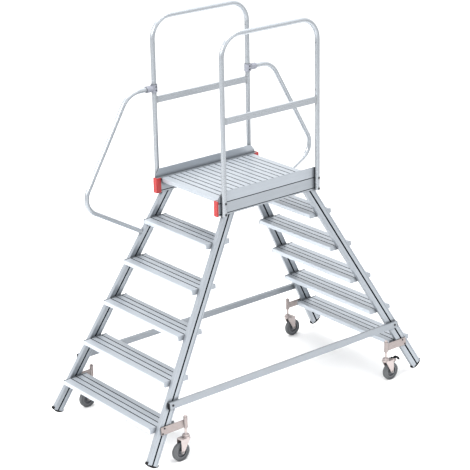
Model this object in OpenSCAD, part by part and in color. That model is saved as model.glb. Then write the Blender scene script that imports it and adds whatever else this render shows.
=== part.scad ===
// Mobile platform ladder, climbed from both sides: two flights of treads between
// flared stiles, a ribbed deck with guard rails, and four sprung swivel castors.
// +X runs along the ladder towards the right flight, +Y towards the handrail side.
// The origin is on the floor, under the middle of the ladder's bounding box.

/* [Platform] */
// Height of the deck surface above the floor
platform_z = 1455; // [1440:1:1470]
// Length of the deck along the ladder, nose to nose
deck_len = 727; // [715:1:735]
// Height of the guard rails' upper edge above the deck
rail_h = 995; // [950:1:1050]
// Distance between the left and right posts, centre to centre
post_span = 727.8; // [724:0.2:732]
// Bend radius of the guard rail corners, to the tube's centre
rail_bend_r = 130; // [90:5:160]
// Outer diameter of the guard rail and handrail tube
tube_d = 30; // [28:1:32]
// Height of the flat mid rail
mid_rail_h = 40; // [30:1:50]

/* [Side beams] */
// Height of the side beams
beam_h = 91; // [88:1:94]
// Thickness of the side beams
beam_t = 30; // [28:1:32]
// Distance from the ladder's mid plane to the outer face of each beam
beam_out_y = 311.5; // [308:0.5:315]
// Height of the toe board above the deck
toe_h = 54; // [40:1:60]

/* [Flights] */
// Vertical distance between two treads
rise = 240; // [235:1:245]
// Drop from the deck to the first tread
first_drop = 245; // [240:1:250]
// Angle of the flights above the floor
flight_angle = 60; // [59:0.5:61]
// Outward lean of the stiles, seen from the end of the ladder
flare_angle = 8.35; // [7.5:0.05:9]
// Depth of a tread
tread_depth = 173; // [165:1:176]
// Thickness of the treads and of the deck planks
tread_h = 28; // [26:1:30]
// Width of the stiles
stile_w = 73; // [70:1:76]
// Thickness of the stiles
stile_t = 25; // [23:1:27]
// Distance from the ladder's centre to the groove of a stile, at the beam's lower edge
stile_top_x = 315.7; // [312:0.5:320]

/* [Handrails] */
// Height of the handrail's level part above the deck
hand_level = 554; // [540:1:570]
// Distance from the ladder's centre to the corner of the upper bend
hand_corner_x = 557; // [540:1:575]
// Distance from the ladder's centre to the corner of the lower bend
hand_low_x = 924; // [900:1:940]

/* [Castors] */
// Wheel diameter
wheel_d = 115; // [110:1:118]
// Width of the tyre
tyre_w = 28; // [24:1:30]
// Distance from the ladder's centre to each swivel axis, along the ladder
castor_x = 813; // [800:1:825]
// Distance from the ladder's mid plane to each swivel axis
castor_y = 482; // [480:0.5:484]
// Offset of the wheel axle behind the swivel axis
trail = 41; // [36:1:44]

/* [Hidden] */

ALU = "#c3cbd3";
ALU_LIGHT = "#d6dee5";
ZINC = "#d9cbc9";
DARK = "#26282b";
RED = "#d8393a";
TYRE = "#5f6367";
CORE = "#74777b";

eps = 0.01;
big = 4000;
fa_round = 48;

// Signs of the four corners: near is -Y, left is -X.
NL = [-1, -1];
NR = [1, -1];
FL = [-1, 1];
FR = [1, 1];
CORNERS = [NL, NR, FL, FR];

// Swivel headings of the castors at rest, as the direction in which each wheel trails.
heading_nl = 180;
heading_nr = 0;
heading_fl = 180;
heading_fr = 0;

beam_z = platform_z - beam_h;
tan_flight = tan(flight_angle);
// Angle of a stile inside the leaning side plane, from the plane's upright
lean = atan(cos(flare_angle) / tan_flight);
side_y = beam_out_y - 1.3;
// Middle heights of the two grooves along each beam, which also take the posts' bolts
groove_line_z = platform_z - 12;
groove_low_z = beam_z + 11.4;
line_w = 5;

post_x = post_span / 2;
post_y = beam_out_y + tube_d / 2;
post_bottom_z = beam_z - 1;
tube_wall = 2;
rail_top_z = platform_z + rail_h - tube_d / 2;
mid_rail_z = platform_z + 481;
mid_rail_t = 16;

bolt_r = 4;
bolt_clear = 0.15;

step_count = 5;
plate_t = 4;
groove_w = 7;
groove_deep = 3;

brace_h = 40;
brace_t = 20;
brace_z = 363;
brace_end_x = 917;
brace_bolt_x = 894.5;

stile_end_z = 47;
hand_z = platform_z + hand_level;
hand_bend_high = 140;
hand_bend_low = 110;

wheel_r = wheel_d / 2;
tube_top_z = 272;
tube_low_z = 202;
guide_r = 13;
guide_bore_r = 9;
stem_r = 8;
rod_r = 4.5;
shoulder_z = 210;
head_z = 158;
head_low_z = 141.5;
crown_z = 136;
crown_t = 5;
kingpin_r = 6;
axle_r = 4;
leg_in = 19.5;
leg_t = 3.5;
hub_half = 18.8;
plate_bolt_high_z = 241.5;
plate_bolt_low_z = 212.5;

// ---------- places ----------

// Height on the flight, counted down from the beam's lower edge, to groove line distance
function groove_x(z) = stile_top_x + (beam_z - z) / tan_flight;
function stile_out_y(z) = side_y + (beam_z - z) * tan(flare_angle);
function tread_z(i) = platform_z - first_drop - rise * (i - 1);
function nose_x(i) = groove_x(tread_z(i)) + tread_depth / 2;
// Distance up the leaning side plane of a point at height z, a depth d inside the outer face
function up_slope(z, d = 0) = (z - beam_z + d * sin(flare_angle)) / cos(flare_angle);
// Puts a shape that is made for the right-hand far corner at corner c.
module at_corner(c) {
    mirror([c[0] < 0 ? 1 : 0, 0, 0]) mirror([0, c[1] < 0 ? 1 : 0, 0]) children();
}

// Leaning side plane of the far side: local Y points out of the stile's outer face,
// local Z runs up the slope from the beam's lower edge.
module side_plane() {
    translate([0, side_y, beam_z]) rotate([flare_angle, 0, 0]) children();
}

// Extrudes an outline drawn in X and Z along Y, from y0 to y1.
module along_y(y0, y1) {
    translate([0, y1, 0]) rotate([90, 0, 0]) linear_extrude(y1 - y0) children();
}

// Extrudes an outline drawn in Y and Z along X, centred.
module along_x(len) {
    rotate([90, 0, 90]) linear_extrude(len, center = true) children();
}

// Bent tube in the XZ plane: a quarter or part turn of a ring.
module bend(r_bend, r_tube, from, sweep) {
    rotate([90, 0, 0])
        rotate([0, 0, from])
            rotate_extrude(angle = sweep, $fn = fa_round)
                translate([r_bend, 0]) circle(r_tube, $fn = fa_round);
}

// ---------- stiles ----------

// Cross section of a stile: x across its width, y from the outer face inwards.
module stile_section() {
    recess = 1.2;
    flange = 9;
    slot_w = 9;
    slot_deep = 5;
    wall = 2.4;
    half = stile_w / 2;
    difference() {
        translate([-half, -stile_t]) square([stile_w, stile_t]);
        for (y = [-recess, -stile_t]) {
            translate([-half + flange, y]) square([stile_w - 2 * flange, recess]);
        }
        for (y = [-slot_deep, -stile_t]) {
            translate([-slot_w / 2, y]) square([slot_w, slot_deep]);
        }
        for (s = [-1, 1]) {
            chamber_w = half - slot_w / 2 - 2 * wall;
            translate([s * (slot_w / 2 + wall + chamber_w / 2) - chamber_w / 2, -stile_t + recess + wall])
                square([chamber_w, stile_t - 2 * (recess + wall)]);
        }
    }
}

module stile_axis() {
    side_plane() translate([stile_top_x, 0, 0]) rotate([0, -lean, 0]) children();
}

function stile_length() = (beam_z - stile_end_z) / (cos(flare_angle) * cos(lean));

module stile_body(c) {
    color(ALU) at_corner(c) difference() {
        stile_axis() translate([0, 0, -stile_length()]) linear_extrude(stile_length() + 60) stile_section();
        translate([0, 0, beam_z]) cube_above();
        brace_bolt_hole();
        plate_bolt_holes();
        for (i = [1 : step_count]) {
            lug_rivet_places(i)
                rotate([-90, 0, 0]) cylinder(h = plate_t + 8, r = 2.5 + bolt_clear, $fn = 24);
        }
    }
}

module cube_above() {
    translate([-big / 2, -big / 2, 0]) cube([big, big, big]);
}

// ---------- treads ----------

// Cross section of a tread plank: nose at x = 0, rear edge at x = -depth, top at y = 0.
module plank_section(depth, nosed, grooves) {
    wall = 2.5;
    skin = 5;
    edge_r = 4;
    cell_front = nosed ? 40 : wall;
    difference() {
        union() {
            for (x = [-edge_r, -depth + edge_r]) {
                translate([x, -edge_r]) circle(edge_r, $fn = fa_round);
            }
            translate([-depth + edge_r, -tread_h]) square([depth - 2 * edge_r, tread_h]);
            translate([-depth, -tread_h]) square([edge_r, tread_h - edge_r]);
            if (nosed) {
                translate([-edge_r, -tread_h + edge_r]) circle(edge_r, $fn = fa_round);
                translate([-edge_r, -tread_h + edge_r]) square([edge_r, tread_h - 2 * edge_r]);
            } else {
                translate([-edge_r, -tread_h]) square([edge_r, tread_h - edge_r]);
            }
        }
        for (g = grooves) {
            translate([-g - groove_w / 2, -groove_deep]) square([groove_w, groove_deep + 1]);
        }
        if (nosed) {
            translate([-cell_front + wall, -tread_h + wall])
                square([cell_front - wall - skin, tread_h - skin - wall]);
        }
        cells = 3;
        cell_w = (depth - cell_front - wall) / cells;
        for (k = [0 : cells - 1]) {
            translate([-depth + wall + k * cell_w, -tread_h - 1])
                square([cell_w - wall, tread_h - skin + 1]);
        }
    }
}

tread_grooves = [for (k = [0 : 2]) 51.5 + 40.75 * k];

// Cuts off whatever reaches beyond the inner faces of both rows of end plates.
module beyond_plates(depth) {
    for (s = [0, 1]) {
        mirror([0, s, 0])
            side_plane()
                translate([-big / 2, -depth, -big]) cube([big, big, 2 * big]);
    }
}

module step_body(f, i) {
    half = stile_out_y(tread_z(i)) + 20;
    rebate = 3;
    color(ALU_LIGHT) at_corner([f, 1]) difference() {
        translate([nose_x(i), 0, tread_z(i)])
            along_y(-half, half) plank_section(tread_depth, true, tread_grooves);
        beyond_plates(stile_t + plate_t);
        // the walking surface stops just short of the end plates
        intersection() {
            beyond_plates(stile_t + plate_t + rebate);
            translate([-big / 2, -big / 2, tread_z(i) - rebate]) cube(big);
        }
    }
}

// Outline of an end plate in the side plane: it follows the tread, with a lug on the stile.
module end_plate_outline(i) {
    lip = 2.6;
    nose_r = 5;
    lug_w = stile_w - 14;
    lug_drop = 26;
    front = nose_x(i) + 1;
    rear = nose_x(i) - tread_depth - 1;
    top = up_slope(tread_z(i), stile_t) + lip;
    bottom = top - tread_h - lip - 0.5;
    lug_x = groove_x(tread_z(i) - tread_h - lug_drop / 2);
    translate([front - nose_r, bottom + nose_r]) circle(nose_r, $fn = fa_round);
    translate([front - nose_r, bottom + nose_r]) square([nose_r, top - bottom - nose_r]);
    translate([rear, bottom]) square([front - nose_r - rear, top - bottom]);
    translate([lug_x - lug_w / 2, bottom - lug_drop]) square([lug_w, lug_drop + 1]);
}

// Two rivets through the lug under each end of a tread, from the plate's inner face.
module lug_rivet_places(i) {
    z = tread_z(i) - tread_h - 14;
    for (s = [-1, 1]) {
        side_plane()
            translate([groove_x(z) + 16 * s, -stile_t - plate_t, up_slope(z, stile_t)]) children();
    }
}

module step_end_plates() {
    color(ALU) for (c = CORNERS, i = [1 : step_count]) {
        at_corner(c) difference() {
            side_plane() along_y(-stile_t - plate_t, -stile_t) end_plate_outline(i);
            lug_rivet_places(i)
                translate([0, -1, 0])
                    rotate([-90, 0, 0]) cylinder(h = plate_t + 2, r = 2.5 + bolt_clear, $fn = 24);
        }
    }
}

// ---------- side beams ----------

module beam_section() {
    wall = 2.5;
    line_deep = 3.5;
    rebate = 3;
    ledge = 14;
    inner = beam_out_y - beam_t;
    ledge_top = platform_z - tread_h;
    difference() {
        translate([inner, beam_z]) square([beam_t, beam_h]);
        translate([beam_out_y - rebate, groove_line_z + line_w / 2]) square([rebate + 1, beam_h]);
        for (z = [groove_line_z, groove_low_z]) {
            translate([beam_out_y - line_deep, z - line_w / 2]) square([line_deep + 1, line_w]);
        }
        translate([inner - 1, groove_low_z - line_w / 2]) square([line_deep + 1, line_w]);
        translate([inner + 2 * wall, beam_z + 7])
            square([beam_t - 4 * wall, beam_h - 14]);
    }
    translate([inner - ledge, ledge_top - 4]) square([ledge + eps, 4]);
    translate([inner - ledge, ledge_top - 9]) square([3, 6]);
}

// How far each beam reaches; the near one stops short on the right, behind its post.
function beam_end_x(c) = c == NR ? 388 : 397;

// A section drawn out along a beam, to a given distance short of its ends.
module beam_run(s, short) {
    left = beam_end_x([-1, s]) - short;
    right = beam_end_x([1, s]) - short;
    translate([(right - left) / 2, 0, 0]) along_x(left + right) children();
}

module beam_body(s) {
    ledge_end_x = deck_len / 2 - 6;
    color(ALU) at_corner([1, s]) difference() {
        beam_run(s, 0) beam_section();
        for (f = [-1, 1]) {
            translate([f * post_x, 0, 0]) post_bolt_holes();
            // the ledge stops short of the end caps
            translate([f * (ledge_end_x + 50) - 50, beam_out_y - beam_t - 30, beam_z + 20])
                cube([100, 30, 60]);
        }
    }
}

module beam_end_caps() {
    cap_t = 9;
    wing = 27;
    wing_t = 2;
    over = 1.5;
    inner = beam_out_y - beam_t;
    color(RED) for (c = CORNERS) {
        at_corner(c) {
            translate([beam_end_x(c), inner - wing_t, beam_z - over])
                cube([cap_t, beam_t + wing_t, beam_h + 2 * over]);
            translate([beam_end_x(c) - wing, inner - wing_t, beam_z - over])
                cube([wing + eps, wing_t, beam_h + 2 * over]);
        }
    }
}

// ---------- deck ----------

module deck_planks() {
    gap = 0.5;
    half_y = beam_out_y - beam_t - 3.5;
    plank_w = deck_len / 4;
    nose_grooves = [for (k = [0 : 2]) 51.5 + 44.5 * k];
    mid_grooves = [for (k = [-1 : 1]) plank_w / 2 + 45.5 * k];
    color(ALU_LIGHT) for (f = [-1, 1]) {
        at_corner([f, 1]) {
            translate([deck_len / 2, 0, platform_z])
                along_y(-half_y, half_y) plank_section(plank_w - gap, true, nose_grooves);
            translate([plank_w - gap / 2, 0, platform_z])
                along_y(-half_y, half_y) plank_section(plank_w - gap, false, mid_grooves);
        }
    }
}

module toe_section() {
    skin = 3;
    board_t = 8;
    low = groove_line_z + line_w / 2 + 0.1;
    top = platform_z + toe_h;
    difference() {
        union() {
            translate([beam_out_y - skin, low]) square([skin, platform_z - low + eps]);
            translate([beam_out_y - board_t, platform_z]) square([board_t, toe_h - board_t / 2]);
            translate([beam_out_y - board_t / 2, top - board_t / 2])
                circle(board_t / 2, $fn = fa_round);
        }
        translate([beam_out_y - board_t + 2, platform_z + 3])
            square([board_t - 4, toe_h - board_t - 3]);
    }
}

module toe_boards() {
    short = 4;
    chamfer = 30;
    top = platform_z + toe_h;
    color(ALU) for (s = [-1, 1]) {
        at_corner([1, s]) difference() {
            beam_run(s, short) toe_section();
            for (f = [-1, 1]) {
                end_x = beam_end_x([f, s]) - short;
                along_y(beam_out_y - 20, beam_out_y + 5)
                    polygon([
                        [f * (end_x - chamfer), top + 1],
                        [f * (end_x + 1), top - 1.3 * chamfer],
                        [f * (end_x + 1), top + 1]
                    ]);
                translate([f * post_x, 0, 0]) post_bolt_holes();
            }
        }
    }
}

// ---------- guard rails ----------

// Bolts run square to the posts, through the post, the toe board and the beam's outer wall.
module post_bolt_holes() {
    for (z = [groove_low_z, groove_line_z]) {
        translate([0, post_y + tube_d, z])
            rotate([90, 0, 0]) cylinder(h = 60, r = bolt_r + bolt_clear, $fn = fa_round);
    }
}

module hoop(r, low_z) {
    half = post_x - rail_bend_r;
    for (s = [-1, 1]) {
        translate([s * post_x, 0, low_z])
            cylinder(h = rail_top_z - rail_bend_r - low_z, r = r, $fn = fa_round);
    }
    translate([-half, 0, rail_top_z])
        rotate([0, 90, 0]) cylinder(h = 2 * half, r = r, $fn = fa_round);
    for (s = [0, 1]) {
        mirror([s, 0, 0])
            translate([half, 0, rail_top_z - rail_bend_r]) bend(rail_bend_r, r, 0, 90);
    }
}

// Holes in the posts' inner sides: upper ones for a barrier, lower ones on the near side
// for the clamp of a second handrail.
gate_hole_r = 3.5;
gate_hole_z = platform_z + 828;
spare_hole_z = platform_z + 540;

module railing(s) {
    hole_zs = s < 0 ? [gate_hole_z, spare_hole_z] : [gate_hole_z];
    color(ALU) at_corner([1, s]) difference() {
        translate([0, post_y, 0]) hoop(tube_d / 2, post_bottom_z);
        translate([0, post_y, 0]) hoop(tube_d / 2 - tube_wall, post_bottom_z - 1);
        for (f = [-1, 1]) {
            translate([f * post_x, 0, 0]) post_bolt_holes();
            for (z = hole_zs) {
                translate([f * post_x, post_y, z])
                    rotate([0, -90 * f, 0]) cylinder(h = 20, r = gate_hole_r, $fn = fa_round);
            }
        }
    }
}

module railing_near() {
    railing(-1);
}

module railing_far() {
    railing(1);
}

module mid_rails() {
    wall = 2;
    color(ALU) for (s = [-1, 1]) {
        at_corner([1, s]) difference() {
            translate([0, post_y, mid_rail_z])
                cube([post_span, mid_rail_t, mid_rail_h], center = true);
            translate([0, post_y, mid_rail_z])
                cube([post_span + 1, mid_rail_t - 2 * wall, mid_rail_h - 2 * wall], center = true);
            for (f = [-1, 1]) {
                translate([f * post_x, post_y, mid_rail_z - mid_rail_h])
                    cylinder(h = 2 * mid_rail_h, r = tube_d / 2, $fn = fa_round);
            }
        }
    }
}

// ---------- handrails ----------

clamp_end_x = 425;
clamp_h = 47;
clamp_r = 21.5;
clamp_wall_x = post_x + tube_d / 2 + 3;

// The handrail's plane turns about its level part, so that its foot meets the middle of
// the stile's thickness.
hand_foot_z = 1107;
hand_tilt = atan((stile_out_y(hand_foot_z) - stile_t / 2 - post_y) / (hand_z - hand_foot_z));

// Straight length of tube along +Z.
module rail_run(len) {
    difference() {
        cylinder(h = len, r = tube_d / 2, $fn = fa_round);
        translate([0, 0, -1]) cylinder(h = len + 2, r = tube_d / 2 - tube_wall, $fn = fa_round);
    }
}

// Bent length from +Z towards +X, with whatever follows it carried on from its end. It is
// a little fuller than the straight lengths and laps over them at both ends.
module rail_turn(r_bend, angle) {
    lap_angle = 0.7;
    lap_r = 0.25;
    translate([r_bend, 0, 0]) {
        rotate([90, 0, 0])
            rotate([0, 0, 180 - angle - lap_angle])
                rotate_extrude(angle = angle + 2 * lap_angle, $fn = fa_round)
                    translate([r_bend, 0]) difference() {
                        circle(tube_d / 2 + lap_r, $fn = fa_round);
                        circle(tube_d / 2 - tube_wall - lap_r, $fn = fa_round);
                    }
        rotate([0, angle, 0]) translate([-r_bend, 0, 0]) children();
    }
}

module hand_path() {
    cut_high = hand_bend_high * tan(flight_angle / 2);
    slope_len = (hand_low_x - hand_corner_x) / cos(flight_angle);
    level_run = round(hand_corner_x - cut_high - clamp_wall_x);
    slope_run = round(slope_len - cut_high - hand_bend_low);
    foot_run = 405;
    rotate([0, 90, 0]) {
        rail_run(level_run);
        translate([0, 0, level_run]) rail_turn(hand_bend_high, flight_angle) {
            rail_run(slope_run);
            translate([0, 0, slope_run]) rail_turn(hand_bend_low, 90) rail_run(foot_run);
        }
    }
}

module handrail(f) {
    color(ALU) at_corner([f, 1]) difference() {
        translate([0, post_y, hand_z])
            rotate([hand_tilt, 0, 0]) translate([clamp_wall_x, 0, 0]) hand_path();
        // the foot is cut flush with the front of the stile
        stile_axis() translate([stile_w / 2 - 200, -200, -big]) cube([200, 400, big]);
    }
}

module handrail_left() {
    handrail(-1);
}

module handrail_right() {
    handrail(1);
}

module clamp_screw_places() {
    for (dz = [-10.5, 10.5]) {
        translate([post_x, post_y - clamp_r, hand_z + dz]) children();
    }
}

module handrail_clamps() {
    fit = 0.05;
    color(ZINC) for (f = [-1, 1]) {
        at_corner([f, 1]) difference() {
            union() {
                translate([post_x, post_y, hand_z - clamp_h / 2])
                    cylinder(h = clamp_h, r = clamp_r, $fn = fa_round);
                translate([post_x, post_y, hand_z])
                    rotate([0, 90, 0])
                        cylinder(h = clamp_end_x - post_x, r = clamp_r - 1, $fn = fa_round);
            }
            translate([post_x, post_y, hand_z - clamp_h])
                cylinder(h = 2 * clamp_h, r = tube_d / 2 + fit, $fn = fa_round);
            translate([clamp_wall_x, post_y, hand_z])
                rotate([0, 90, 0]) cylinder(h = 100, r = tube_d / 2 + fit, $fn = fa_round);
            clamp_screw_places()
                translate([0, -1, 0])
                    rotate([-90, 0, 0]) cylinder(h = 6, r = 2.5 + bolt_clear, $fn = fa_round);
        }
    }
}

// ---------- braces ----------

module brace_bolt_place() {
    side_plane() translate([brace_bolt_x, 0, up_slope(brace_z)]) children();
}

module brace_bolt_hole() {
    brace_bolt_place()
        translate([0, brace_t + 1, 0])
            rotate([90, 0, 0]) cylinder(h = brace_t + 14, r = bolt_r + bolt_clear, $fn = fa_round);
}

module braces() {
    wall = 2;
    color(ALU) for (s = [-1, 1]) {
        at_corner([1, s]) difference() {
            side_plane() translate([0, brace_t / 2, up_slope(brace_z)])
                cube([2 * brace_end_x, brace_t, brace_h], center = true);
            side_plane() translate([0, brace_t / 2, up_slope(brace_z)])
                cube([2 * brace_end_x + 1, brace_t - 2 * wall, brace_h - 2 * wall], center = true);
            brace_bolt_hole();
            mirror([1, 0, 0]) brace_bolt_hole();
        }
    }
}

module brace_plugs() {
    wall = 2;
    lid = 4;
    tongue = 16;
    color(DARK) for (c = CORNERS) {
        at_corner(c) side_plane() translate([brace_end_x, 0, up_slope(brace_z)]) {
            translate([0, 0, -brace_h / 2]) cube([lid, brace_t, brace_h]);
            translate([-tongue, wall, -brace_h / 2 + wall])
                cube([tongue + eps, brace_t - 2 * wall, brace_h - 2 * wall]);
        }
    }
}

// ---------- feet ----------

// Each foot is a curved sole whose ends hook up over the two edges of its stile.
module feet() {
    sole_w = 84;
    sole_r = 75;
    sole_deep = 12;
    hook = 14;
    color(DARK) for (c = CORNERS) {
        at_corner(c) stile_axis() translate([0, 0, -stile_length()]) difference() {
            along_y(-stile_t, 0) intersection() {
                translate([0, sole_r - sole_deep]) circle(sole_r, $fn = fa_round);
                translate([-sole_w / 2, -sole_deep - 1]) square([sole_w, sole_deep + 1 + hook]);
            }
            translate([-stile_w / 2, -stile_t - 1, 0]) cube([stile_w, stile_t + 2, 50]);
        }
    }
}

// ---------- fasteners ----------

// Domed bolt: the head's seat is at the origin, the shank runs along -Y.
module bolt(shank, r = bolt_r, head_r = 6.5, head_h = 4) {
    rotate([-90, 0, 0]) {
        translate([0, 0, -shank]) cylinder(h = shank + eps, r = r, $fn = fa_round);
        cylinder(h = head_h * 0.6, r = head_r, $fn = fa_round);
        translate([0, 0, head_h * 0.6])
            cylinder(h = head_h * 0.4, r1 = head_r, r2 = head_r * 0.7, $fn = fa_round);
    }
}

module frame_bolts() {
    color(DARK) for (c = CORNERS) {
        at_corner(c) {
            for (z = [groove_low_z, groove_line_z]) {
                translate([post_x, post_y + tube_d / 2, z]) bolt(42);
            }
            brace_bolt_place() translate([0, brace_t, 0]) bolt(brace_t + 10);
            plate_bolt_places() translate([0, plate_wall, 0]) bolt(plate_wall + 10, 3, 5, 3.5);
            for (i = [1 : step_count]) {
                lug_rivet_places(i) rotate([0, 0, 180]) bolt(plate_t + 6, 2.5, 4.5, 2);
            }
        }
    }
    color(DARK) for (f = [-1, 1]) {
        at_corner([f, 1]) clamp_screw_places() rotate([0, 0, 180]) bolt(4.5, 2.5, 4, 2.5);
    }
}

// ---------- castors ----------

plate_wall = 5;

module plate_bolt_places() {
    for (z = [plate_bolt_high_z, plate_bolt_low_z]) {
        side_plane() translate([groove_x(z), 0, up_slope(z)]) children();
    }
}

module plate_bolt_holes() {
    plate_bolt_places()
        translate([0, plate_wall + 1, 0])
            rotate([90, 0, 0]) cylinder(h = plate_wall + 14, r = 3 + bolt_clear, $fn = fa_round);
}

// Flat arm on the stile's outer face with an upright guide tube welded to its end.
module bracket(c) {
    arm_high = 252;
    arm_low = 205;
    arm_end = 990;
    bush_h = 5;
    lid = 5;
    color(ZINC) at_corner(c) difference() {
        union() {
            side_plane()
                along_y(0, plate_wall)
                    polygon([
                        [castor_x + 4, up_slope(arm_high)],
                        [arm_end, up_slope(arm_high)],
                        [arm_end, up_slope(arm_low)],
                        [castor_x + 4, up_slope(arm_low)]
                    ]);
            translate([castor_x, castor_y, tube_low_z])
                cylinder(h = tube_top_z - tube_low_z, r = guide_r, $fn = fa_round);
        }
        translate([castor_x, castor_y, tube_low_z - 1])
            cylinder(h = 50, r = stem_r + 0.06, $fn = fa_round);
        translate([castor_x, castor_y, tube_low_z + bush_h])
            cylinder(h = tube_top_z - tube_low_z - bush_h - lid, r = guide_bore_r, $fn = fa_round);
        translate([castor_x, castor_y, tube_top_z - 20])
            cylinder(h = 30, r = rod_r + 0.06, $fn = fa_round);
        plate_bolt_holes();
    }
}

// Coil spring between the shoulder of the stem and the lid of the guide tube, as one
// closed skin round the helix.
module spring(c) {
    wire_r = 1.1;
    coil_r = 7;
    turns = 7;
    per_turn = 14;
    sides = 6;
    low = shoulder_z + 0.1 + wire_r;
    high = tube_top_z - 5.1 - wire_r;
    rings = turns * per_turn;
    points = [
        for (k = [0 : rings], j = [0 : sides - 1])
            let (turn = 360 * k / per_turn, round = 360 * j / sides, r = coil_r + wire_r * cos(round))
                [r * cos(turn), r * sin(turn), low + (high - low) * k / rings + wire_r * sin(round)]
    ];
    faces = [
        [for (j = [0 : sides - 1]) j],
        for (k = [0 : rings - 1], j = [0 : sides - 1])
            let (a = k * sides + j, b = k * sides + (j + 1) % sides)
                [a, a + sides, b + sides, b],
        [for (j = [sides - 1 : -1 : 0]) rings * sides + j]
    ];
    color(ZINC)
        translate([c[0] * castor_x, c[1] * castor_y, 0])
            polyhedron(points = points, faces = faces);
}

// Castor frame: origin on the floor under the swivel axis, wheel trailing along +X.
module at_castor(c, heading) {
    translate([c[0] * castor_x, c[1] * castor_y, 0]) rotate([0, 0, heading]) children();
}

module stem(c) {
    housing_r = 23;
    knob_r = 9;
    knob_z = tube_top_z + 0.1;
    color(ZINC) at_castor(c, 0) {
        rotate_extrude($fn = fa_round) {
            polygon([
                [0, crown_z - 5], [9, crown_z - 5], [9, crown_z - 1.5], [kingpin_r, crown_z - 0.4],
                [kingpin_r, head_low_z], [housing_r, head_low_z], [housing_r, head_low_z + 6],
                [housing_r - 3, head_low_z + 7], [housing_r - 3, head_z - 5],
                [housing_r - 1, head_z - 4], [housing_r - 1, head_z - 1.5],
                [housing_r - 3, head_z - 0.5], [stem_r + 4, head_z - 0.5],
                [stem_r, head_z + 3], [stem_r, shoulder_z], [rod_r, shoulder_z],
                [rod_r, knob_z], [knob_r, knob_z], [knob_r, knob_z + 4],
                [knob_r - 2, knob_z + 8], [knob_r - 5, knob_z + 10.4], [0, knob_z + 11]
            ]);
        }
    }
}

module leg_outline() {
    tip_r = 9.5;
    difference() {
        union() {
            translate([trail, wheel_r]) circle(tip_r, $fn = fa_round);
            polygon([
                [-17, crown_z + crown_t], [trail + tip_r, crown_z + crown_t],
                [trail + tip_r, wheel_r], [trail - 8.2, wheel_r - 4.8]
            ]);
        }
        translate([trail, wheel_r]) circle(axle_r, $fn = fa_round);
    }
}

module fork(c, heading, braked = false) {
    width = leg_in + leg_t;
    rear = trail + 9.5;
    color(ZINC) at_castor(c, heading) difference() {
        union() {
            translate([0, 0, crown_z]) linear_extrude(crown_t) {
                circle(width, $fn = fa_round);
                translate([0, -width]) square([rear, 2 * width]);
            }
            along_y(leg_in, width) leg_outline();
            along_y(-width, -leg_in) leg_outline();
            if (braked) {
                brake_arm();
            }
        }
        translate([0, 0, crown_z - 1]) cylinder(h = 30, r = kingpin_r + 0.06, $fn = fa_round);
    }
}

pedal_x = 68;
pedal_z = 131;
pedal_half = 11;
pedal_pin_r = 3.5;

// Pressed cheeks behind the crown, which hold the pedal's pin between them.
module brake_arm() {
    cheek_t = 3;
    module cheek() {
        difference() {
            polygon([
                [30, crown_z + 1], [trail + 9.5, crown_z], [64, 122], [80, 119], [88, 121],
                [86, 128], [76, 137], [62, crown_z + crown_t], [50, 146], [34, 146], [30, 143]
            ]);
            translate([pedal_x, pedal_z]) circle(pedal_pin_r + 0.06, $fn = fa_round);
        }
    }
    along_y(pedal_half + 0.5, pedal_half + 0.5 + cheek_t) cheek();
    along_y(-pedal_half - 0.5 - cheek_t, -pedal_half - 0.5) cheek();
}

// Foot pedal: a wavy rocker over the cheeks, with a cam above the tyre.
module brake_pedal() {
    cam = 20.3;
    color(DARK) at_castor(NR, heading_nr) {
        along_y(-pedal_half, pedal_half) {
            translate([pedal_x, pedal_z]) circle(6.5, $fn = fa_round);
            polygon([
                [56, 149], [60, 149], [65, 143], [69, 140.5], [75, 141.5], [82, 146], [90, 147.5],
                [99, 145], [108, 138.5], [113, 129], [115, 119], [110, 116], [107, 127], [102, 134],
                [97, 138], [90, 140], [84, 138.5], [76, 134], [69, 133], [63, 135], [58, 141]
            ]);
            polygon([
                [pedal_x - 6, pedal_z], [pedal_x + 6, pedal_z],
                [pedal_x + 2, pedal_z - cam], [pedal_x - 2, pedal_z - cam]
            ]);
        }
        translate([pedal_x, 0, pedal_z])
            rotate([90, 0, 0])
                cylinder(h = 2 * pedal_half + 12, r = pedal_pin_r, center = true, $fn = fa_round);
    }
}

module axle(c, heading) {
    reach = leg_in + leg_t;
    nut_h = 5;
    color(ZINC) at_castor(c, heading) translate([trail, 0, wheel_r]) rotate([90, 0, 0]) {
        cylinder(h = 2 * reach + 2 * nut_h, r = axle_r, center = true, $fn = fa_round);
        for (s = [0, 1]) {
            mirror([0, 0, s]) translate([0, 0, reach]) cylinder(h = nut_h - 1, r = 6.8, $fn = 6);
        }
    }
}

core_r = 42;

module wheel_core(c, heading) {
    hub_r = 12;
    web = 3.5;
    rim_in = 34;
    rim_half = tyre_w / 2 - 2;
    color(CORE) at_castor(c, heading) translate([trail, 0, wheel_r]) rotate([90, 0, 0])
        rotate_extrude($fn = fa_round)
            polygon([
                [axle_r + 0.06, -hub_half], [hub_r, -hub_half], [hub_r + 3, -web - 3], [hub_r + 6, -web],
                [rim_in - 3, -web], [rim_in, -rim_half], [core_r, -rim_half], [core_r, rim_half],
                [rim_in, rim_half], [rim_in - 3, web], [hub_r + 6, web], [hub_r + 3, web + 3],
                [hub_r, hub_half], [axle_r + 0.06, hub_half]
            ]);
}

module tyre(c, heading) {
    round_r = 6;
    half = tyre_w / 2;
    color(TYRE) at_castor(c, heading) translate([trail, 0, wheel_r]) rotate([90, 0, 0])
        rotate_extrude($fn = 64) {
            translate([core_r, -half]) square([wheel_r - core_r - round_r, tyre_w]);
            translate([core_r, -half + round_r])
                square([wheel_r - core_r, tyre_w - 2 * round_r]);
            for (s = [-1, 1]) {
                translate([wheel_r - round_r, s * (half - round_r)]) circle(round_r, $fn = 32);
            }
        }
}

// ---------- assembly ----------

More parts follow.
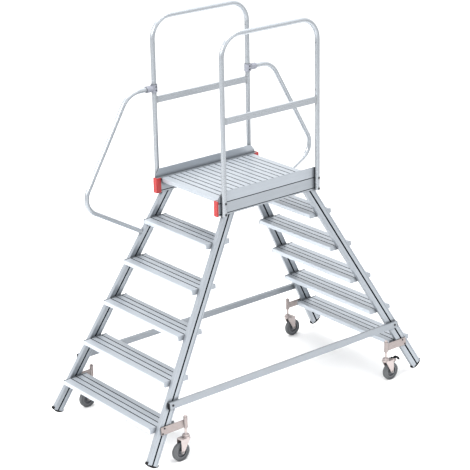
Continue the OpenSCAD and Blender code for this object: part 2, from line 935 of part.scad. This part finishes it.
stile_body(NL);  // stile_nl
stile_body(NR);  // stile_nr
stile_body(FL);  // stile_fl
stile_body(FR);  // stile_fr
step_body(-1, 1);  // step_l1
step_body(-1, 2);  // step_l2
step_body(-1, 3);  // step_l3
step_body(-1, 4);  // step_l4
step_body(-1, 5);  // step_l5
step_body(1, 1);  // step_r1
step_body(1, 2);  // step_r2
step_body(1, 3);  // step_r3
step_body(1, 4);  // step_r4
step_body(1, 5);  // step_r5
step_end_plates();
beam_body(-1);  // beam_near
beam_body(1);  // beam_far
deck_planks();
toe_boards();
beam_end_caps();
railing_near();
railing_far();
mid_rails();
handrail_left();
handrail_right();
handrail_clamps();
braces();
brace_plugs();
feet();
frame_bolts();
bracket(NL);  // bracket_nl
spring(NL);  // spring_nl
stem(NL);  // stem_nl
fork(NL, heading_nl);  // fork_nl
axle(NL, heading_nl);  // axle_nl
wheel_core(NL, heading_nl);  // wheel_core_nl
tyre(NL, heading_nl);  // tyre_nl
bracket(NR);  // bracket_nr
spring(NR);  // spring_nr
stem(NR);  // stem_nr
fork(NR, heading_nr, true);  // fork_nr
axle(NR, heading_nr);  // axle_nr
wheel_core(NR, heading_nr);  // wheel_core_nr
tyre(NR, heading_nr);  // tyre_nr
bracket(FL);  // bracket_fl
spring(FL);  // spring_fl
stem(FL);  // stem_fl
fork(FL, heading_fl);  // fork_fl
axle(FL, heading_fl);  // axle_fl
wheel_core(FL, heading_fl);  // wheel_core_fl
tyre(FL, heading_fl);  // tyre_fl
bracket(FR);  // bracket_fr
spring(FR);  // spring_fr
stem(FR);  // stem_fr
fork(FR, heading_fr);  // fork_fr
axle(FR, heading_fr);  // axle_fr
wheel_core(FR, heading_fr);  // wheel_core_fr
tyre(FR, heading_fr);  // tyre_fr
brake_pedal();
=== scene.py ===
import math

import bmesh
import bpy
from mathutils import Matrix, Vector


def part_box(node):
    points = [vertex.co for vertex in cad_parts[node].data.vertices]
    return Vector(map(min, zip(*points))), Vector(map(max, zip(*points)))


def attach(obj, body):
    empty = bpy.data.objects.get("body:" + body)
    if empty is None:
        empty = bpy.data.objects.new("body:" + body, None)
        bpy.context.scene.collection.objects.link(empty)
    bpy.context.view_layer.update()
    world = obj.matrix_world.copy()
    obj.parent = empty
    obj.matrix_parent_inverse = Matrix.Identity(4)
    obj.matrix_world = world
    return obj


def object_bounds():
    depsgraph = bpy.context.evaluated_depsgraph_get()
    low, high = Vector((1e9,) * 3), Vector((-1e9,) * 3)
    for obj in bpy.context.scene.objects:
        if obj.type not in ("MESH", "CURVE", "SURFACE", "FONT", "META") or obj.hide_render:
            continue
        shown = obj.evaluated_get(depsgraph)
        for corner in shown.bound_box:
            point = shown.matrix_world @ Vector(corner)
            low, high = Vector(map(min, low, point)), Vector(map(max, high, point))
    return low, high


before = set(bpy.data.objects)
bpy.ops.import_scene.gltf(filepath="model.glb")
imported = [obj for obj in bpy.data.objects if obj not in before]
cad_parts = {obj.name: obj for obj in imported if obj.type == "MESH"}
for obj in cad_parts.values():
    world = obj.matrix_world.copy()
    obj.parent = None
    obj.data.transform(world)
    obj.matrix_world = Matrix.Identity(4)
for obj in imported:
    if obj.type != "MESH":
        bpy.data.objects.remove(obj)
cad_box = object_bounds()

CORNERS = ("nl", "nr", "fl", "fr")
SIDE_X = {"nl": -1, "fl": -1, "nr": 1, "fr": 1}
SIDE_Y = {"nl": -1, "nr": -1, "fl": 1, "fr": 1}
FLIGHT_ANGLE = math.radians(60.0)
FLARE_ANGLE = math.radians(8.35)


def middle(node):
    low, high = (Vector(v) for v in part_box(node))
    return (low + high) / 2


MID_Y = middle("deck_planks").y
BEAM_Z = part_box("beam_far")[0][2]
# Middle of a stile's outer face at the beam's lower edge, and its thickness
STILE_TOP_X = 0.3157
STILE_TOP_Y = 0.3102
STILE_T = 0.025
# How far under a stile's face the painted shade of its slot begins, and that painted shade's half width
SLOT_RIM = 0.0011
SLOT_HALF_W = 0.0054

# The deck's surface and ends, and the heights of the two grooves along each beam
PLATFORM_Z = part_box("deck_planks")[1][2]
DECK_HALF_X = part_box("deck_planks")[1][0]
BEAM_GROOVE_HIGH = 0.012
BEAM_GROOVE_LOW = 0.0114
BEAM_GROOVE_W = 0.005
GROOVE_WALL = 0.00003

# The treads are evenly spaced
LOWEST_TREAD_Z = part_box("step_l5")[1][2]
TREAD_RISE = (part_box("step_l1")[1][2] - LOWEST_TREAD_Z) / 4
TREAD_DEPTH = 0.173
# Depths below a walking surface that are inside its grooves, and how far its edges are left out
GROOVE_DEPTHS = (0.0002, 0.0032)
EDGE_MARGIN = 0.006


def stile_face_y(z):
    return STILE_TOP_Y + (BEAM_Z - z) * math.tan(FLARE_ANGLE)


# ---------- node helpers ----------


class Nodes:
    """A material's node tree, with short calls for the nodes used here."""

    def __init__(self, name):
        self.mat = bpy.data.materials.new(name)
        self.mat.use_nodes = True
        self.tree = self.mat.node_tree
        self.tree.nodes.clear()
        self.out = self.add("ShaderNodeOutputMaterial")
        self.shader = self.add("ShaderNodeBsdfPrincipled")
        self.link(self.shader.outputs["BSDF"], self.out.inputs["Surface"])
        self.point = self.add("ShaderNodeTexCoord").outputs["Object"]

    def add(self, kind, **values):
        node = self.tree.nodes.new(kind)
        for key, value in values.items():
            setattr(node, key, value)
        return node

    def link(self, out, into):
        self.tree.links.new(out, into)

    def feed(self, node, socket, value):
        if isinstance(value, bpy.types.NodeSocket):
            self.link(value, node.inputs[socket])
        else:
            node.inputs[socket].default_value = value

    def math(self, kind, a, b=0.0, clamp=False):
        node = self.add("ShaderNodeMath", operation=kind, use_clamp=clamp)
        self.feed(node, 0, a)
        self.feed(node, 1, b)
        return node.outputs[0]

    def vector(self, kind, a, b):
        node = self.add("ShaderNodeVectorMath", operation=kind)
        self.feed(node, 0, a)
        self.feed(node, 1, b)
        return node.outputs["Value" if kind == "DOT_PRODUCT" else "Vector"]

    def along(self, direction, stretch):
        """The point, squeezed along a direction, so that a texture is drawn out that way."""
        d = Vector(direction).normalized()
        reach = self.vector("DOT_PRODUCT", self.point, d)
        part = self.add("ShaderNodeVectorMath", operation="SCALE")
        part.inputs[0].default_value = d
        self.link(self.math("MULTIPLY", reach, 1 - 1 / stretch), part.inputs["Scale"])
        return self.vector("SUBTRACT", self.point, part.outputs[0])

    def noise(self, where, scale, detail=3.0, roughness=0.5):
        node = self.add("ShaderNodeTexNoise")
        self.link(where, node.inputs["Vector"])
        node.inputs["Scale"].default_value = scale
        node.inputs["Detail"].default_value = detail
        node.inputs["Roughness"].default_value = roughness
        return node.outputs["Fac"]

    def spread(self, value, low, high, to_low=0.0, to_high=1.0):
        node = self.add("ShaderNodeMapRange", clamp=True)
        self.link(value, node.inputs["Value"])
        for key, number in (("From Min", low), ("From Max", high), ("To Min", to_low), ("To Max", to_high)):
            node.inputs[key].default_value = number
        return node.outputs["Result"]

    def mix(self, factor, a, b):
        node = self.add("ShaderNodeMix", data_type="RGBA")
        self.feed(node, "Factor", factor)
        for socket, value in (("A", a), ("B", b)):
            entry = next(s for s in node.inputs if s.name == socket and s.type == "RGBA")
            if isinstance(value, bpy.types.NodeSocket):
                self.link(value, entry)
            else:
                entry.default_value = (*value, 1.0)
        return next(s for s in node.outputs if s.type == "RGBA")

    def bump(self, height, strength, distance, after=None):
        node = self.add("ShaderNodeBump")
        node.inputs["Strength"].default_value = strength
        node.inputs["Distance"].default_value = distance
        self.link(height, node.inputs["Height"])
        if after is not None:
            self.link(after, node.inputs["Normal"])
        return node.outputs["Normal"]

    def normal_up(self):
        """How far the face's normal points up: 1 on a level face, 0 on an upright one."""
        normal = self.add("ShaderNodeNewGeometry").outputs["Normal"]
        return self.vector("DOT_PRODUCT", normal, Vector((0, 0, 1)))

    def toward(self, colour, mask, amount, tint):
        """Takes a colour part of the way to a tint where the mask is 1."""
        return self.mix(self.math("MULTIPLY", mask, amount), colour, tint)

    def axis(self, direction):
        """The point's coordinate along a direction."""
        return self.vector("DOT_PRODUCT", self.point, Vector(direction))

    def between(self, value, low, high):
        """1 where a value lies between two limits, 0 outside them."""
        above = self.math("GREATER_THAN", value, low)
        return self.math("MULTIPLY", above, self.math("LESS_THAN", value, high))

    def either(self, a, b):
        return self.math("MAXIMUM", a, b)

    def paint(self, colour, metallic, rough, relief, dark=None, gloss=0.5):
        """Joins up the shader, with painted shade: hollows, joints and the dark parts lose their light."""
        # Painted shade: an ambient occlusion factor darkens the colour in hollows and where parts meet.
        hollow = self.add("ShaderNodeAmbientOcclusion", samples=HOLLOW_SAMPLES)
        hollow.inputs["Distance"].default_value = HOLLOW_REACH
        lit = self.math("POWER", hollow.outputs["AO"], HOLLOW_POWER)
        if dark is not None:
            lit = self.math("MULTIPLY", lit, self.math("SUBTRACT", 1.0, dark))
        self.link(self.mix(lit, PAINTED_SHADE_TINT, colour), self.shader.inputs["Base Color"])
        self.link(self.math("MULTIPLY", lit, metallic), self.shader.inputs["Metallic"])
        self.link(self.math("MULTIPLY", lit, gloss), self.shader.inputs["Specular IOR Level"])
        self.link(rough, self.shader.inputs["Roughness"])
        self.link(relief, self.shader.inputs["Normal"])
        return self.mat

    def edge_wear_and_highlight(self, width):
        """1 on edges, 0 on flats: where the normal of a rounded copy leaves the true one. Edges lightened by
        it show partly wear, partly a painted highlight.
        """
        rounded = self.add("ShaderNodeBevel", samples=4)
        rounded.inputs["Radius"].default_value = width
        true = self.add("ShaderNodeNewGeometry").outputs["Normal"]
        same = self.vector("DOT_PRODUCT", rounded.outputs["Normal"], true)
        return self.spread(same, 0.75, 0.985, 1.0, 0.0)


# How far the painted shade of hollows reaches, how deep it gets and what it darkens to
HOLLOW_REACH = 0.022
HOLLOW_POWER = 1.6
HOLLOW_SAMPLES = 6
PAINTED_SHADE_TINT = (0.010, 0.013, 0.017)


def shade(tint, k):
    return tuple(min(1.0, c * k) for c in tint)


# ---------- materials ----------


def slot_shadow(origin, outward, across):
    """Painted shade in the narrow slots down both faces of a stile, which makes them read as black."""
    def mask(m):
        offset = m.vector("SUBTRACT", m.point, origin)
        depth = m.math("ADD", m.vector("DOT_PRODUCT", offset, outward), STILE_T / 2)
        from_middle = m.math("ABSOLUTE", depth)
        from_axis = m.math("ABSOLUTE", m.vector("DOT_PRODUCT", offset, across))
        inside = m.math("LESS_THAN", from_middle, STILE_T / 2 - SLOT_RIM)
        return m.math("MULTIPLY", inside, m.math("LESS_THAN", from_axis, SLOT_HALF_W))
    return mask


def beam_shadow(m):
    """Painted shade in the two grooves along each beam."""
    z = m.axis((0, 0, 1))
    grooves = []
    for middle_z in (PLATFORM_Z - BEAM_GROOVE_HIGH, BEAM_Z + BEAM_GROOVE_LOW):
        away = m.math("ABSOLUTE", m.math("SUBTRACT", z, middle_z))
        grooves.append(m.math("LESS_THAN", away, BEAM_GROOVE_W / 2 + GROOVE_WALL))
    return m.either(*grooves)


def tread_shadow(m):
    """Painted shade in the grooves across the treads: just under a walking surface, away from its edges."""
    steps = m.math("DIVIDE", m.math("SUBTRACT", m.axis((0, 0, 1)), LOWEST_TREAD_Z), TREAD_RISE)
    under = m.math("MULTIPLY", m.math("SUBTRACT", 1.0, m.math("FRACT", steps)), TREAD_RISE)
    reach = m.math("ABSOLUTE", m.axis((1, 0, 0)))
    slope = m.math("MULTIPLY", m.math("SUBTRACT", BEAM_Z, m.axis((0, 0, 1))), 1 / math.tan(FLIGHT_ANGLE))
    from_middle = m.math("ABSOLUTE", m.math("SUBTRACT", reach, m.math("ADD", slope, STILE_TOP_X)))
    inner = m.math("LESS_THAN", from_middle, TREAD_DEPTH / 2 - EDGE_MARGIN)
    return m.math("MULTIPLY", inner, m.between(under, *GROOVE_DEPTHS))


def deck_shadow(m):
    """Painted shade in the grooves of the deck, away from its two ends."""
    under = m.math("SUBTRACT", PLATFORM_Z, m.axis((0, 0, 1)))
    inner = m.math("LESS_THAN", m.math("ABSOLUTE", m.axis((1, 0, 0))), DECK_HALF_X - EDGE_MARGIN)
    return m.math("MULTIPLY", inner, m.between(under, *GROOVE_DEPTHS))


def aluminium(name, tint, metallic, roughness, direction=None, stretch=60.0, ribbed=False, shadow=None,
              upright=1.0, level=1.0):
    """Extruded metal. Painted light: its brightness goes from one factor on upright faces to another on level
    ones.
    """
    m = Nodes(name)
    where = m.along(direction, stretch) if direction else m.point
    lines = m.noise(where, scale=900.0 if direction else 1400.0, detail=2.0)
    bands = m.noise(where, scale=55.0)
    clouds = m.noise(m.point, scale=5.0, detail=4.0, roughness=0.6)
    scuffs = m.noise(m.along((1, 0.35, 0.2), 14.0), scale=130.0, detail=5.0, roughness=0.7)
    scuff = m.spread(scuffs, 0.66, 0.74)
    colour = m.mix(m.spread(clouds, 0.3, 0.7), shade(tint, 0.96), shade(tint, 1.02))
    colour = m.toward(colour, m.spread(bands, 0.35, 0.7), 0.3, shade(tint, 0.9))
    colour = m.toward(colour, scuff, 0.22, shade(tint, 1.12))
    # Edges lighter: partly wear, partly a painted highlight.
    colour = m.toward(colour, m.edge_wear_and_highlight(0.0012), 0.5, shade(tint, 1.2))
    rough = m.math("ADD", m.spread(lines, 0.3, 0.7, roughness - 0.07, roughness + 0.07),
                   m.math("MULTIPLY", scuff, 0.12))
    relief = m.bump(lines, strength=0.15, distance=0.00008)
    if ribbed:
        up = m.spread(m.normal_up(), 0.9, 0.97)
        teeth = m.add("ShaderNodeTexWave", wave_type="BANDS", bands_direction="DIAGONAL")
        m.link(m.point, teeth.inputs["Vector"])
        teeth.inputs["Scale"].default_value = 62.0
        tooth = teeth.outputs["Fac"]
        relief = m.bump(m.math("MULTIPLY", tooth, up), strength=0.25, distance=0.0004, after=relief)
        # Painted shade in the valleys between the teeth on level faces.
        valley_shade = m.math("MULTIPLY", m.spread(tooth, 0.0, 0.4, 1.0, 0.0), up)
        colour = m.toward(colour, valley_shade, 0.12, shade(tint, 0.8))
        grime = m.spread(m.noise(m.point, scale=11.0, detail=5.0, roughness=0.65), 0.5, 0.7)
        colour = m.toward(colour, m.math("MULTIPLY", grime, up), 0.1, shade(tint, 0.75))
    # Painted light: upright and level faces are made lighter or darker by the factors given.
    painted_light = m.add("ShaderNodeVectorMath", operation="SCALE")
    m.link(colour, painted_light.inputs[0])
    levelness = m.math("ABSOLUTE", m.normal_up())
    m.link(m.spread(levelness, 0.0, 1.0, upright, level), painted_light.inputs["Scale"])
    return m.paint(painted_light.outputs[0], metallic, rough, relief, shadow(m) if shadow else None)


def plated_steel(name, tint, metallic, roughness, spangle=0.3):
    m = Nodes(name)
    cells = m.add("ShaderNodeTexVoronoi", feature="SMOOTH_F1")
    m.link(m.point, cells.inputs["Vector"])
    cells.inputs["Scale"].default_value = 260.0
    clouds = m.noise(m.point, scale=40.0, detail=4.0, roughness=0.6)
    grain = m.noise(m.point, scale=1500.0, detail=2.0)
    colour = m.mix(m.spread(cells.outputs["Distance"], 0.1, 0.6), shade(tint, 1.0 + 0.2 * spangle),
                   shade(tint, 1.0 - 0.25 * spangle))
    colour = m.toward(colour, m.spread(clouds, 0.4, 0.7), 0.3, shade(tint, 0.85))
    # Edges lighter: partly wear, partly a painted highlight.
    colour = m.toward(colour, m.edge_wear_and_highlight(0.0010), 0.5, shade(tint, 1.15))
    rough = m.spread(clouds, 0.3, 0.7, roughness - 0.06, roughness + 0.08)
    return m.paint(colour, metallic, rough, m.bump(grain, strength=0.2, distance=0.0001))


def cast_metal(name, tint):
    m = Nodes(name)
    grain = m.noise(m.point, scale=700.0, detail=4.0, roughness=0.7)
    clouds = m.noise(m.point, scale=30.0)
    colour = m.mix(m.spread(clouds, 0.35, 0.65), shade(tint, 0.92), shade(tint, 1.06))
    # Edges lighter: partly wear, partly a painted highlight.
    colour = m.toward(colour, m.edge_wear_and_highlight(0.0015), 0.5, shade(tint, 1.25))
    rough = m.spread(grain, 0.3, 0.7, 0.42, 0.56)
    return m.paint(colour, 0.35, rough, m.bump(grain, strength=0.4, distance=0.0003))


def moulded_plastic(name, tint, roughness, grain_scale=900.0, wear_and_highlight=1.3, gloss=0.5):
    m = Nodes(name)
    grain = m.noise(m.point, scale=grain_scale, roughness=0.6)
    clouds = m.noise(m.point, scale=18.0)
    colour = m.mix(m.spread(clouds, 0.35, 0.65), shade(tint, 0.93), shade(tint, 1.05))
    # Edges lighter: partly wear, partly a painted highlight.
    colour = m.toward(colour, m.edge_wear_and_highlight(0.0012), 0.45, shade(tint, wear_and_highlight))
    rough = m.spread(grain, 0.3, 0.7, roughness - 0.05, roughness + 0.08)
    return m.paint(colour, 0.0, rough, m.bump(grain, strength=0.35, distance=0.00025), gloss=gloss)


def rubber(name, tint, gloss=0.5):
    m = Nodes(name)
    grain = m.noise(m.point, scale=1100.0, detail=4.0, roughness=0.6)
    dirt = m.noise(m.point, scale=60.0, detail=5.0, roughness=0.65)
    colour = m.mix(m.spread(dirt, 0.45, 0.75), tint, shade(tint, 1.35))
    rough = m.spread(dirt, 0.3, 0.7, 0.55, 0.75)
    return m.paint(colour, 0.0, rough, m.bump(grain, strength=0.4, distance=0.0003), gloss=gloss)


def paint(mat, *nodes):
    """Puts one material on every slot of some CAD nodes."""
    for node in nodes:
        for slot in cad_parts[node].material_slots:
            slot.material = mat


# Tints of the stiles and plates, of the beams and braces, and of the walking surfaces; the beams' is a darker
# copy of the stiles' tint (painted shade), the walking surfaces' a lighter copy (painted light)
ALU = (0.315, 0.342, 0.375)
ALU_SHADED = (0.265, 0.288, 0.314)
ALU_LIT = (0.37, 0.401, 0.437)
BLACK = (0.008, 0.008, 0.009)
ALONG_X = (1, 0, 0)
ALONG_Y = (0, 1, 0)

# A stile's lean along the ladder, measured in its own side plane
LEAN = math.atan(math.cos(FLARE_ANGLE) / math.tan(FLIGHT_ANGLE))
for corner in CORNERS:
    sx, sy = SIDE_X[corner], SIDE_Y[corner]
    run = (sx * math.sin(LEAN), sy * math.cos(LEAN) * math.sin(FLARE_ANGLE),
           -math.cos(LEAN) * math.cos(FLARE_ANGLE))
    head = Vector((sx * STILE_TOP_X, MID_Y + sy * STILE_TOP_Y, BEAM_Z))
    outward = Vector((0, sy * math.cos(FLARE_ANGLE), math.sin(FLARE_ANGLE)))
    across = Vector((sx * math.cos(LEAN), -sy * math.sin(LEAN) * math.sin(FLARE_ANGLE),
                     math.sin(LEAN) * math.cos(FLARE_ANGLE)))
    metal = aluminium("stile_metal_" + corner, ALU, 0.55, 0.36, run,
                      shadow=slot_shadow(head, outward, across))
    paint(metal, "stile_" + corner)

# Painted shade: beams and braces take the darker copy of the stile tint.
paint(aluminium("beam_metal", ALU_SHADED, 0.55, 0.36, ALONG_X, shadow=beam_shadow),
      "beam_near", "beam_far", "braces")
paint(aluminium("toe_metal", ALU, 0.55, 0.36, ALONG_X), "toe_boards")
# Painted light: treads and deck take the lighter copy of the stile tint, and the treads' upright faces, such
# as their noses, are lightened further.
paint(aluminium("tread_metal", ALU_LIT, 0.45, 0.38, ALONG_Y, stretch=40.0, ribbed=True,
                shadow=tread_shadow, upright=1.28),
      *(f"step_{flight}{i}" for flight in "lr" for i in range(1, 6)))
paint(aluminium("deck_metal", ALU_LIT, 0.45, 0.38, ALONG_Y, stretch=40.0, ribbed=True, shadow=deck_shadow),
      "deck_planks")
paint(aluminium("plate_metal", ALU, 0.5, 0.42, ALONG_X, stretch=20.0), "step_end_plates")
# Painted light: the tubes are lighter where their faces are level, such as their upper sides.
paint(aluminium("tube_metal", (0.28, 0.30, 0.323), 0.6, 0.27, level=1.7),
      "railing_near", "railing_far", "mid_rails", "handrail_left", "handrail_right")
paint(cast_metal("cast_clamp_metal", (0.235, 0.245, 0.285)), "handrail_clamps")
paint(moulded_plastic("red_moulding", (0.33, 0.013, 0.013), 0.42, wear_and_highlight=1.25), "beam_end_caps")
paint(moulded_plastic("black_moulding", BLACK, 0.5, grain_scale=700.0, wear_and_highlight=2.2, gloss=0.15),
      "brace_plugs", "brake_pedal")
paint(rubber("black_rubber", BLACK, gloss=0.12), "feet")
paint(plated_steel("dark_steel", (0.03, 0.03, 0.035), 0.7, 0.5, spangle=0.2), "frame_bolts")

# Painted shade and light: the arms take a darker, the stems and forks a lighter copy of one zinc tint.
arm_shaded_zinc = plated_steel("arm_zinc_shaded", (0.30, 0.26, 0.252), 0.5, 0.34)
CASTOR_PAINTS = (
    (arm_shaded_zinc, ("bracket_",)),
    (plated_steel("castor_zinc", (0.46, 0.40, 0.39), 0.5, 0.34), ("stem_", "fork_")),
    (plated_steel("axle_zinc", (0.34, 0.33, 0.33), 0.8, 0.30), ("axle_",)),
    (plated_steel("spring_wire", (0.42, 0.42, 0.43), 0.9, 0.28, spangle=0.1), ("spring_",)),
    (rubber("tyre_rubber_grey", (0.075, 0.08, 0.085)), ("tyre_",)),
    (moulded_plastic("wheel_core_plastic", (0.13, 0.135, 0.145), 0.45, grain_scale=600.0), ("wheel_core_",)),
)
for mat, parts in CASTOR_PAINTS:
    paint(mat, *(part + corner for part in parts for corner in CORNERS))

# ---------- weld beads ----------


def bead(name, path, radius, outward, closed, mat):
    """A rippled weld bead swept along a path of points, as a closed mesh."""
    sides = 8
    end_taper = 0.45
    ripple = (0.88, 1.04)
    work = bmesh.new()
    rings = []
    for k, point in enumerate(path):
        before = path[k - 1] if closed or k else path[k]
        after = path[(k + 1) % len(path)] if closed or k < len(path) - 1 else path[k]
        along = (after - before).normalized()
        out = (outward - outward.dot(along) * along).normalized()
        across = along.cross(out)
        end = not closed and k in (0, len(path) - 1)
        r = radius * (end_taper if end else ripple[k % 2])
        ring = []
        for j in range(sides):
            angle = 2 * math.pi * j / sides
            ring.append(work.verts.new(point + r * (math.cos(angle) * out + math.sin(angle) * across)))
        rings.append(ring)
    pairs = list(zip(rings, rings[1:]))
    if closed:
        pairs.append((rings[-1], rings[0]))
    else:
        work.faces.new(list(reversed(rings[0])))
        work.faces.new(rings[-1])
    for one, two in pairs:
        for j in range(sides):
            work.faces.new((one[j], one[(j + 1) % sides], two[(j + 1) % sides], two[j]))
    bmesh.ops.recalc_face_normals(work, faces=work.faces)
    mesh = bpy.data.meshes.new(name)
    work.to_mesh(mesh)
    work.free()
    for face in mesh.polygons:
        face.use_smooth = True
    mesh.materials.append(mat)
    piece = bpy.data.objects.new(name, mesh)
    bpy.context.scene.collection.objects.link(piece)
    return piece


TUBE_R = 0.015
POST_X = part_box("railing_far")[1][0] - TUBE_R
RAIL_HALF_T = 0.008
RAIL_WELD_R = 0.0016
# Points of a rail's weld: half across its end's width, and up each side
RAIL_WELD_ACROSS = 8
RAIL_WELD_UP = 20
CASTOR_X = middle("stem_fr").x
CASTOR_Y = middle("stem_fr").y - MID_Y
GUIDE_R = 0.013
ARM_T = 0.005
ARM_WELD_R = 0.0013
ARM_WELD_STEPS = 32
# The arm's weld starts this far above the guide tube's end, and is this long
ARM_WELD_INSET = 0.005
ARM_WELD_H = 0.041
weld_metal = plated_steel("weld_metal", (0.34, 0.35, 0.36), 0.75, 0.36, spangle=0.4)
rail_low, rail_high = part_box("mid_rails")[0][2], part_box("mid_rails")[1][2]

for corner in CORNERS:
    sx, sy = SIDE_X[corner], SIDE_Y[corner]
    post_y = MID_Y + sy * (middle("railing_far").y - MID_Y)
    path = []
    for z, way in ((rail_low, 1), (rail_high, -1)):
        for k in range(-RAIL_WELD_ACROSS, RAIL_WELD_ACROSS):
            y = way * RAIL_HALF_T * k / RAIL_WELD_ACROSS
            path.append(Vector((sx * (POST_X - math.sqrt(TUBE_R**2 - y**2)), post_y + y, z)))
        edge = way * RAIL_HALF_T
        for k in range(RAIL_WELD_UP):
            rise = way * (rail_high - rail_low) * (k / RAIL_WELD_UP)
            path.append(Vector((sx * (POST_X - math.sqrt(TUBE_R**2 - edge**2)), post_y + edge, z + rise)))
    ring = bead("rail_weld_" + corner, path, RAIL_WELD_R, Vector((-sx, 0, 0)), True, weld_metal)
    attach(ring, "frame")

    bracket_low_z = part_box("bracket_" + corner)[0][2]
    for side in (0, 1):
        path = []
        for k in range(ARM_WELD_STEPS + 1):
            z = bracket_low_z + ARM_WELD_INSET + ARM_WELD_H * k / ARM_WELD_STEPS
            face_y = stile_face_y(z) + side * ARM_T / math.cos(FLARE_ANGLE)
            off = face_y - CASTOR_Y
            x = CASTOR_X + math.sqrt(GUIDE_R**2 - off**2)
            path.append(Vector((sx * x, MID_Y + sy * face_y, z)))
        away = Vector((sx, sy * (2 * side - 1), 0))
        seam = bead(f"arm_weld_{corner}_{side}", path, ARM_WELD_R, away, False, arm_shaded_zinc)
        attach(seam, "frame")

# ---------- stage, light and camera ----------

FLOOR_HALF = 60.0
floor_mesh = bpy.data.meshes.new("floor")
floor_corners = [(x * FLOOR_HALF, y * FLOOR_HALF, 0) for x, y in ((-1, -1), (1, -1), (1, 1), (-1, 1))]
floor_mesh.from_pydata(floor_corners, [], [(0, 1, 2, 3)])
floor = bpy.data.objects.new("floor", floor_mesh)
bpy.context.scene.collection.objects.link(floor)
floor_paint = Nodes("floor_paint")
floor_paint.shader.inputs["Base Color"].default_value = (0.97, 0.97, 0.97, 1)
floor_paint.shader.inputs["Roughness"].default_value = 0.9
floor_paint.shader.inputs["Specular IOR Level"].default_value = 0.0
floor_mesh.materials.append(floor_paint.mat)


def area_light(name, place, aim, size, power):
    """A round white lamp turned towards a point."""
    data = bpy.data.lights.new(name, "AREA")
    data.shape = "DISK"
    data.size = size
    data.energy = power
    lamp = bpy.data.objects.new(name, data)
    lamp.location = place
    lamp.rotation_euler = (Vector(aim) - Vector(place)).to_track_quat("-Z", "Y").to_euler()
    bpy.context.scene.collection.objects.link(lamp)


centre = (Vector(cad_box[0]) + Vector(cad_box[1])) / 2
area_light("key", (-7.0, -1.0, 5.5), centre, size=3.5, power=600.0)
area_light("fill", (2.0, -8.0, 4.0), centre, size=5.0, power=120.0)
area_light("top", (0.0, 0.5, 8.0), centre, size=6.0, power=620.0)

world = bpy.data.worlds.new("studio")
world.use_nodes = True
background = world.node_tree.nodes["Background"]
background.inputs["Color"].default_value = (1.0, 1.0, 1.0, 1)
background.inputs["Strength"].default_value = 1.12
bpy.context.scene.world = world
bpy.context.scene.view_settings.view_transform = "Standard"

# The camera's direction is counted from the -Y side, and it turns about the point it aims at
AZIMUTH = math.radians(-38.889)
ELEVATION = math.radians(20.067)
ROLL = math.radians(-1.102)
DISTANCE = 10.4481
AIM = Vector((0.0149, MID_Y + 0.0502, 1.053))
LENS_MM = 129.0

back = Vector((math.sin(AZIMUTH) * math.cos(ELEVATION),
               -math.cos(AZIMUTH) * math.cos(ELEVATION),
               math.sin(ELEVATION)))
right = (-back).cross(Vector((0, 0, 1))).normalized()
up = right.cross(-back)
cam_x = math.cos(ROLL) * right + math.sin(ROLL) * up
cam_y = -math.sin(ROLL) * right + math.cos(ROLL) * up
turn = Matrix((cam_x, cam_y, back)).transposed().to_4x4()
lens = bpy.data.cameras.new("camera")
lens.sensor_width = 36.0
lens.lens = LENS_MM
lens.clip_end = 200.0
camera = bpy.data.objects.new("camera", lens)
camera.matrix_world = Matrix.Translation(AIM + DISTANCE * back) @ turn
bpy.context.scene.collection.objects.link(camera)
bpy.context.scene.camera = camera
